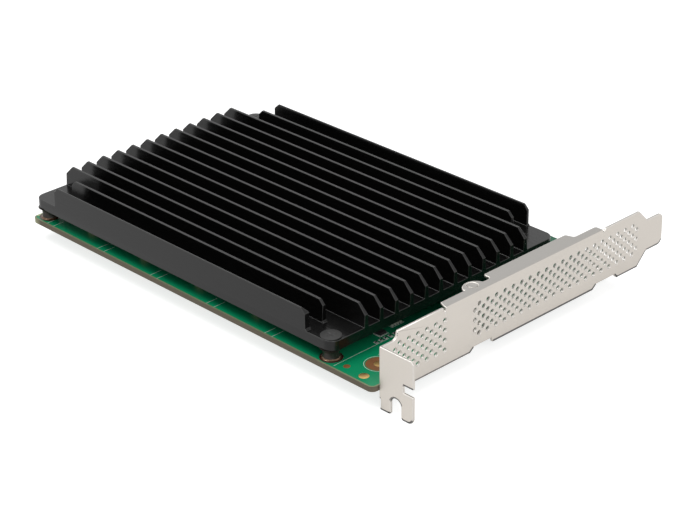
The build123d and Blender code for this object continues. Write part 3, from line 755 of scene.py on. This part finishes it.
def makeScrews():
    feet = [card["pillar"], (screwLook["feetX"], card["farFootY"])]
    top = screwSurface(cornerPlaces(True), card["baseTop"], "top", 1)
    low = screwSurface(cornerPlaces(False), underside, "lower")
    foot = screwSurface(feet, underside - card["sheet"], "feet")
    for name, finish, surface, node in (
            ("topScrews", "screwPlated", top, "heatsink_top_screws"),
            ("lowerScrews", "screwPlated", low, "heatsink_lower_screws"),
            ("feetScrews", "screwZinc", foot, "bracket_screws")):
        buildPiece(name, {finish: [surface]}, node)
    print("screws made")


standoff = dict(
    stem=1.6, waist=2.4, flare=3.5, flareTall=1.88, bore=1.24, boreTop=1.2,
    ringOuter=3.4, solder=(1.63, 2.5),
    # solder bead against the waist: steps outwards, and heights
    bead=((0.05, 0.02), (0.55, 0.02), (0.35, 0.10), (0.15, 0.24), (0.02, 0.42)),
)


def makeStandoffs():
    # a turned post that spreads in a quarter round under the heatsink's corner, so that its
    # radius is the waist plus the spread times (1 - cosine of the height's share)
    stem, waist, flare, flareTall, bore, boreTop, ringOuter, solder, beadSteps = standoff.values()
    low, high = underside, card["sinkLow"]
    share = np.linspace(0, np.pi / 2, 8)
    flareR = waist + (flare - waist) * (1 - np.cos(share))
    flareZ = high - 0.02 - flareTall * (1 - np.sin(share))
    profile = [(0, low + boreTop), (bore, low + boreTop), (bore, low + 0.1), (bore + 0.1, low),
               (stem - 0.1, low), (stem, low + 0.08), (stem, 0), (waist + 0.1, 0),
               (waist, 0.12), *zip(flareR, flareZ), (flare, high - 0.005), (0, high - 0.005)]
    both = cornerPlaces(True) + cornerPlaces(False)
    buildPiece("standoffs", {"standoffDark": [revolve(profile, both, 40)]},
               "heatsink_standoffs")
    bead = [(waist + out, z) for out, z in beadSteps]
    under = layer(0.06, under=True, gap=0.004)
    buildPiece("standoffRings", {
        "maroonRing": [flatRing(waist, ringOuter, layer(0.05, gap=0.004), both, 40)],
        "beadBrown": [revolve(bead, both, 40, closed=True),
                      flatRing(*solder, under, both, 40)]})
    print("standoffs made")


# the far wall between its tip and its root, measured inwards from the outer side, and the
# share of its thickness that is left
sinkLook = dict(bevel=0.16, wallTip=0.47, wallRoot=2.4, wallShare=0.33, endClear=4.5)


def thinFarWall(places):
    # the far wall's inner side moves outwards, so that it is about as thin as a fin
    look = sinkLook
    inwards = card["sinkFar"] - places[:, 1]
    fromEnds = np.minimum(places[:, 0] - card["sinkLeft"], card["sinkRight"] - places[:, 0])
    part = (inwards > look["wallTip"]) & (inwards < look["wallRoot"]) \
        & (places[:, 2] > card["baseTop"] - 0.01) & (fromEnds > look["endClear"])
    moved = places.copy()
    moved[part, 1] += (inwards[part] - look["wallTip"]) * (1.0 - look["wallShare"])
    return moved


def makeHeatsink():
    # the rounded edges wear the lighter black, painted highlight along them
    roundedCopy("finnedSink", "heatsink", sinkLook["bevel"], "anodBlack", "anodEdgeLit",
                angle=20.0, change=thinFarWall)
    print("heatsink made")


# module places: sockets with leads, pegs and two rows of contacts, pads, and threaded posts
socketLook = dict(
    front=4.3, depth=8.8, pitch=0.5, feet=37, keyX=6.1, keyClear=0.8,
    lead=(0.22, 0.9, 0.16), spring=(0.22, 1.9, 0.18), springAt=(3.2, 3.28),
    lowerBy=(0, 0.25, 1.05), peg=(1.2, 1, 0.25), pegX=10.3,
    shellBevel=0.12, padBevel=0.18,
)
postLook = dict(top=2.45, outer=2.75, soft=0.15, stem=1.5, bore=0.9, thread=0.09, turns=9,
                threadDeep=3.6, rings=(1.56, 2.9), lengths=(0, 20, 38))


def makeModulePlaces():
    look = socketLook
    front = card["socketY"] - look["front"]
    rear = front + look["depth"]
    step = (np.arange(look["feet"]) - (look["feet"] - 1) / 2) * look["pitch"]
    step = step[np.abs(step - look["keyX"]) > look["keyClear"]]
    for number, x in enumerate(card["modules"], start=1):
        roundedCopy(f"socketShell{number}", f"module_socket_{number}", look["shellBevel"],
                    "socketBlack")
        roundedCopy(f"softPad{number}", f"thermal_pad_{number}", look["padBevel"], "padSoft")
        leads = softBlock(spots(x + step, rear + 0.35), look["lead"], flare=0.08)
        pegs = softBlock(endPair(x, rear + 0.4, look["pegX"]), look["peg"], 0.2, 0.06,
                         flare=0.1)
        upper = spots(x + step, front + look["springAt"][0], look["springAt"][1])
        springs = [softBlock(row, look["spring"], edge=0.05)
                   for row in (upper, upper - np.array(look["lowerBy"]))]
        buildPiece(f"socketContacts{number}", {"solderTin": [leads, pegs], "goldPlate": springs})
    # a post's bore has a triangle wave of nine turns for its thread
    p = postLook
    share = np.linspace(0, 1, 40)
    thread = spots(p["bore"] - p["thread"] * np.abs((share * p["turns"]) % 1.0 * 2 - 1),
                   p["top"] - p["soft"] - p["threadDeep"] * share)
    outer, top, soft = p["outer"], p["top"], p["soft"]
    profile = [(p["stem"], underside), (p["stem"], 0.0), (outer - soft, 0.0), (outer, 0.12),
               (outer, top - soft), (outer - soft, top), (p["bore"] + soft, top), *thread,
               (p["bore"] + 0.05, underside)]
    places = [(x, card["postY"]) for x in card["modules"]]
    buildPiece("threadedPosts", {"postBrass": [revolve(profile, places, 36, closed=True)]},
               "module_posts")
    rings = [(x, card["postY"] + more) for x in card["modules"] for more in p["lengths"]]
    buildPiece("postRings", {"goldPlate": [
        flatRing(*p["rings"], layer(0.04, under, gap=0.004), rings, 36)
        for under in (False, True)]})
    print("module places made")


# small parts: body, end caps and solder, for every two-ended chip
smallLook = dict(length=1, width=0.5, height=0.4, cap=0.22, flare=0.10)


def twoEnded(places, bodyFinish, name, node):
    length, width, height, cap, flare = smallLook.values()
    body = softBlock(places, (length - 0.1, width - 0.04, height - 0.03), 0.03, lower=0.01)
    shift = np.array([(length - cap) / 2, 0])
    caps = softBlock(np.concatenate([places - shift, places + shift]), (cap, width, height),
                     edge=0.05, flare=flare)
    buildPiece(name, {bodyFinish: [body], "solderTin": [caps]}, node)


def endPair(x, y, out):
    return [(x - out, y), (x + out, y)]


def chipLeads(x, y, size, count, reach=0.45, width=0.28):
    # leads on all four sides of a square chip, evenly spaced
    step = (np.arange(count) - (count - 1) / 2) * (size * 0.8 / (count - 1))
    half = size / 2 + reach / 2 - 0.1
    nearSide, leftSide = spots(x + step, y - half), spots(x - half, y + step)
    rows = ((nearSide, [0, 2 * half], (width, reach, 0.18)),
            (leftSide, [2 * half, 0], (reach, width, 0.18)))
    return [softBlock(np.concatenate([row, row + np.array(over)]), size3, 0.06, 0.05, 0.05)
            for row, over, size3 in rows]


def firstPinDot(x, y):
    # the dimpled dot that marks a chip's first lead
    return revolve([(0, 0.88), (0.34, 0.88), (0.36, 0.905), (0.30, 0.915), (0.26, 0.89),
                    (0, 0.89)], [(x, y)], 16)


# power stages, one each side of the middle, and the chips; a terminal is its step from the
# part's middle and its size
powerLook = dict(
    x=-33, middle=45, spacing=26, coil=7, coilTall=3, coilBevel=0.35,
    coilEnd=(3.15, (0.9, 4.4, 0.35)), seam=(3, 2.2, 0.12),
    chip=5, chipLeads=7, chipDot=1.7, gap=1.5,
    polymerDeep=4.3, polymerTall=2.8, polymerEnd=(3.6, (0.7, 2.6, 0.9)), polymerBevel=0.18,
    band=(2.6, (1, 3.9, 0.03)),
    clock=(84, 6, 9), clockDot=(2.2, 81.8), bodyBevel=0.10,
)
indicatorLook = dict(place=(-21.2, 21), size=2.6, leads=5, lead=(0.4, 0.24), bevel=0.08)
ledLook = dict(x=-21.7, first=26.3, step=1.1, count=4,
               foot=(0.7, 0.7, 0.18), lens=(0.56, 0.60, 0.34))
resistorRow = dict(x=-18, first=16.3, step=1.85, count=5)
couplingLook = dict(socketHalf=10.95, beside=1.5, behindFront=0.5, step=1.4, rows=6)


def rowPlaces(row):
    return spots(row["x"], row["first"] + np.arange(row["count"]) * row["step"])


def makePowerStage(number, side):
    p = powerLook
    x, y = p["x"], p["middle"] + side * p["spacing"] / 2
    chipY = y + side * (p["coil"] / 2 + p["gap"] + p["chip"] / 2)
    capY = y - side * (p["coil"] / 2 + p["gap"] + p["polymerDeep"] / 2)
    roundedCopy(f"coil{number}", f"inductor_{number}", p["coilBevel"], "ferriteGrey", segments=3)
    out, size = p["coilEnd"]
    ends = softBlock(endPair(x, y, out), size, 0.1, 0.06, 0.15)
    half, up, width = p["seam"]
    seams = [endPair(x, y + at, half) for at in (-up, up)]
    seam = ribbon(seams, width, (p["coilTall"] - 0.02, p["coilTall"] + 0.02))
    buildPiece(f"coilTerminals{number}", {"solderTin": [ends], "chipBlack": [seam]})
    roundedCopy(f"regulatorBody{number}", f"regulator_{number}", p["bodyBevel"], "chipBlack")
    buildPiece(f"regulatorLeads{number}",
               {"solderTin": chipLeads(x, chipY, p["chip"], p["chipLeads"]),
                "chipBlack": [firstPinDot(x - p["chipDot"], chipY - p["chipDot"])]})
    roundedCopy(f"polymerBody{number}", f"polymer_capacitor_{number}", p["polymerBevel"],
                "polymerBlack")
    out, size = p["polymerEnd"]
    ends = softBlock(endPair(x, capY, out), size, 0.08, 0.08, 0.15)
    out, size = p["band"]
    band = softBlock([(x - out, capY, p["polymerTall"])], size, 0.1, 0.01)
    buildPiece(f"polymerTerminals{number}", {"solderTin": [ends], "ceramicTan": [band]})


def makeElectronics():
    makePowerStage(1, -1)
    makePowerStage(2, 1)
    p = powerLook
    roundedCopy("clockBody", "clock_chip", p["bodyBevel"], "chipBlack")
    dotX, dotY = p["clockDot"]
    buildPiece("clockLeads", {"solderTin": chipLeads(p["x"], *p["clock"]),
                              "chipBlack": [firstPinDot(p["x"] - dotX, dotY)]})
    look = indicatorLook
    roundedCopy("indicatorBody", "indicator_chip", look["bevel"], "chipBlack")
    leads = chipLeads(*look["place"], look["size"], look["leads"], *look["lead"])
    buildPiece("indicatorLeads", {"solderTin": leads})
    led = rowPlaces(ledLook)
    buildPiece("ledLamps", {"solderTin": [softBlock(led, ledLook["foot"], 0.06, 0.03, 0.05)],
                            "ledPale": [softBlock(led, ledLook["lens"], 0.16, 0.12, lower=0.16)]},
               "status_leds")
    twoEnded(rowPlaces(resistorRow), "chipBlack", "resistorChips", "resistors")
    look = couplingLook
    columns = np.array(card["modules"]) - look["socketHalf"] - look["beside"]
    start = card["socketY"] - socketLook["front"] + look["behindFront"]
    x, y = np.meshgrid(columns, start + np.arange(look["rows"]) * look["step"], indexing="ij")
    twoEnded(spots(x.ravel(), y.ravel()), "ceramicTan", "couplingChips", "coupling_capacitors")
    print("small parts made")


def marginPath(inset):
    # along the left side, the near edge and the right side, with rounded corners
    r = card["boardRound"] - inset
    left, right = card["boardLeft"] + inset, card["boardRight"] - inset
    near, far = card["boardNear"] + inset, card["boardFar"] - 1.9
    turn = np.linspace(0, np.pi / 2, 9)
    nearLeft = spots(left + r - r * np.cos(turn), near + r - r * np.sin(turn))
    nearRight = spots(right - r + r * np.sin(turn), near + r - r * np.cos(turn))
    return np.concatenate([[(left, far)], nearLeft, nearRight, [(right, far)]])[None]


# contact numbers left and right of the key; where each contact's gold neck begins and ends
contactRows = dict(left=71, right=11, neck=(107.4, 108.1), neckWidth=0.22)
# runs from the contacts: shares that have one, the bend, and the far ends with their spread
laneLook = dict(above=dict(share=0.92, end=(92.6, 3.6)),
                under=dict(share=0.78, end=(84, 12)),
                start=103.45, bend=(100.2, -0.6), jog=0.35)
copper = dict(
    width=0.16, tall=0.035,
    # runs beside the bracket: first x, step, lowest start and spread, jog and far end
    side=dict(count=9, x=-15.6, step=0.55, start=(30, 4), run=16, jog=2.2, end=84),
    # runs from the resistors towards the card's corner
    short=dict(start=-17.2, bend=-15.6, last=-14.9, step=0.3, down=(0.7, 1.6)),
    # runs under the modules
    long=dict(lanes=(-6, -5.6, -3, -2.6, 1, 1.4), start=82, bend=52, jog=1.6,
              end=(14, 10)),
    # broad strips from the contacts to the supply, under the board
    power=(((-46, 102), (-46, 97), (-36, 87), (-36, 70)),
           ((-49, 102), (-49, 94), (-41.5, 86.5), (-41.5, 40))),
    powerWidth=2.2,
    scatter=(90, (-148, -4), (12, 80)),   # vias under the board: number, x and y
)
via = dict(bore=0.13, outer=0.30, soft=0.04, tall=0.055)
margin = dict(inset=0.27, width=0.50, endWidth=0.8, endX=0.5, endY=(4, -0.6))


def contactPlaces():
    # contact middles: seventy-one left of the key and eleven right of it
    key, clear = card["keyX"], card["keyHalf"] + card["rowMargin"]
    left = key - clear - np.arange(contactRows["left"]) * card["contactPitch"]
    right = key + clear + np.arange(contactRows["right"]) * card["contactPitch"]
    return np.concatenate([left, right])


def lanePaths(kind, side):
    # from each contact back over the board edge, with one slant of 45 degrees
    look = laneLook[kind]
    x = contactPlaces()
    x = x[rng.random(len(x)) < look["share"]]
    jog = laneLook["jog"]
    bend = laneLook["bend"][0] + rng.random(len(x)) * laneLook["bend"][1]
    end = look["end"][0] + rng.random(len(x)) * look["end"][1]
    return paths((x, laneLook["start"]), (x, bend), (x + jog * side, bend - jog),
                 (x + jog * side, end))


def viaRings(places, under=False):
    # a plated ring's closed section, softened at its top, turned about each place
    inner, outer, soft, tall = via.values()
    low, high = layer(tall, under)
    return revolve([(inner, low), (outer, low), (outer, high - 0.01), (outer - soft, high),
                    (inner + soft, high), (inner, high - 0.01)], places, 10, closed=True)


def makeBoardMarks():
    topLanes, underLanes = lanePaths("above", 1), lanePaths("under", -1)
    look = copper["side"]
    order = np.arange(look["count"])
    x, far = look["x"] + order * look["step"], look["x"] + order * look["step"] + look["jog"]
    start = look["start"][0] + rng.random(look["count"]) * look["start"][1]
    bend = start + look["run"] + order
    side = paths((x, start), (x, bend), (far, bend + look["jog"]), (far, look["end"]))
    look = copper["short"]
    y, aside = rowPlaces(resistorRow)[:, 1], look["step"] * np.arange(resistorRow["count"])
    x = look["last"] + aside
    short = paths((look["start"], y), (look["bend"], y),
                  *((x, y - down + aside) for down in look["down"]))
    look = copper["long"]
    x = np.repeat(np.array(card["modules"]), len(look["lanes"])) \
        + np.tile(np.array(look["lanes"]), len(card["modules"]))
    long = paths((x, look["start"]), (x, look["bend"]),
                 (x + look["jog"], look["bend"] - look["jog"]),
                 (x + look["jog"], look["end"][0] + rng.random(len(x)) * look["end"][1]))
    above, below = layer(copper["tall"]), layer(copper["tall"], under=True)
    runs = [ribbon(route, copper["width"], heights) for route, heights in (
        (topLanes, above), (underLanes, below), (side, above), (short, above), (long, below))]
    runs.append(ribbon(copper["power"], copper["powerWidth"], below))
    buildPiece("copperRuns", {"traceGreen": runs})
    count, acrossX, acrossY = copper["scatter"]
    scatter = spots(rng.uniform(*acrossX, count), rng.uniform(*acrossY, count))
    upper = np.concatenate([topLanes[:, -1], side[:, 0], side[:, -1], short[:, -1]])
    under = np.concatenate([underLanes[:, -1], long[:, 0], long[:, -1]])
    buildPiece("vias", {"solderTin": [viaRings(upper), viaRings(under, True),
                                      viaRings(scatter, True)]})
    # gold necks that carry each contact up to the mask's edge
    necks = contactPlaces()
    route = paths(*((necks, end) for end in contactRows["neck"]))
    buildPiece("contactNecks", {"goldPlate": [
        ribbon(route, contactRows["neckWidth"], layer(0.05, under)) for under in (False, True)]})
    # the bare margin round the board, and its pale left end, painted light coming through the
    # fibre
    leftEnd = [[(card["boardLeft"] + margin["endX"], y) for y in margin["endY"]]]
    edges = [ribbon(marginPath(margin["inset"]), margin["width"], layer(0.02, under, gap=0.001))
             for under in (False, True)]
    ends = ribbon(leftEnd, margin["endWidth"], layer(0.024, gap=0.001))
    buildPiece("bareMargin", {"boardMargin": edges, "paleFibreLit": [ends]})
    print("copper made")


# print: frames round the small parts, single lines, pairs of lines at the modules' places,
# and a round target; pads are three flat discs
printed = dict(
    width=0.16, tall=0.03, resistorFrame=(0.78, 0.46), indicatorFrame=(1.75, 1.75),
    ledFrame=(-21.7, 27.95, 0.75, 2.35),
    lines=(((-17.25, -0.9), (-17.25, 19.5)), ((-12.9, 12), (-12.9, 12.9))),
    pairs=(-143.6, -140.6, -118.9, -115.9, -94.1, -91, -69.1, -65.8, -44.2, -41.2),
    pairEnd=2.6, target=(-9.2, 8.5), targetRadius=4.2, bare=(1.5, 3.8, 0.022),
    goldPad=(-7.5, 1), brownPad=(-14.5, 1.4),
)


def framePath(x, y, halfX, halfY):
    # a closed printed frame, drawn past its first corner so that its ends overlap
    return [(x - halfX, y - halfY), (x + halfX, y - halfY), (x + halfX, y + halfY),
            (x - halfX, y + halfY), (x - halfX, y - halfY + 0.02)]


def roundPad(place, foot, edge, top, low, high, sides=32):
    # a thin disc, with the radii of its foot, edge and top, and the heights of the last two
    return revolve([(0, 0.004), (foot, 0.004), (edge, low), (top, high), (0, high)], [place],
                   sides)


def makePrint():
    m = printed
    frames = [framePath(*place, *m["resistorFrame"]) for place in rowPlaces(resistorRow)]
    frames += [framePath(*indicatorLook["place"], *m["indicatorFrame"]),
               framePath(*m["ledFrame"])]
    near = [[(x, card["boardNear"] + 0.35), (x, m["pairEnd"])] for x in m["pairs"]]
    turn = np.linspace(0, 2 * np.pi, 41)
    targetX, targetY = m["target"]
    circle = spots(targetX + m["targetRadius"] * np.cos(turn),
                   targetY + m["targetRadius"] * np.sin(turn))[None]
    buildPiece("printedLines", {"printWhite": [
        ribbon(route, m["width"], layer(m["tall"])) for route in (frames, m["lines"], near,
                                                                  circle)]})
    inner, outer, tall = m["bare"]
    bare = flatRing(inner, outer, layer(tall, gap=0.003), [m["target"]], 48)
    buildPiece("boardPads", {
        "bareLaminate": [bare, roundPad(m["brownPad"], 1.0, 1.0, 0.94, 0.025, 0.035, 28)],
        "goldPlate": [roundPad(m["target"], 1.45, 1.5, 1.4, 0.03, 0.045),
                      roundPad(m["goldPad"], 1.5, 1.5, 1.42, 0.035, 0.05)]})
    print("print made")


def makeMaterials():
    for name in finishes:
        materials[name] = makeFinish(name)
    materials["boardMask"] = makeBoardFinish()
    materials["shearedEdgeShaded"] = makeEdgeFinish()
    print("finishes made")


nodeFinish = {"circuit_board": "boardMask", "edge_contacts": "goldPlate"}


def dressNodes():
    for node, finishName in nodeFinish.items():
        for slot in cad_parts[node].material_slots:
            slot.material = materials[finishName]
    print("packed pieces dressed")


layCamera()
layStudio()
makeMaterials()
dressNodes()
makeBracket()
makePillar()
makeHeatsink()
makeScrews()
makeStandoffs()
makeModulePlaces()
makeElectronics()
makeBoardMarks()
makePrint()
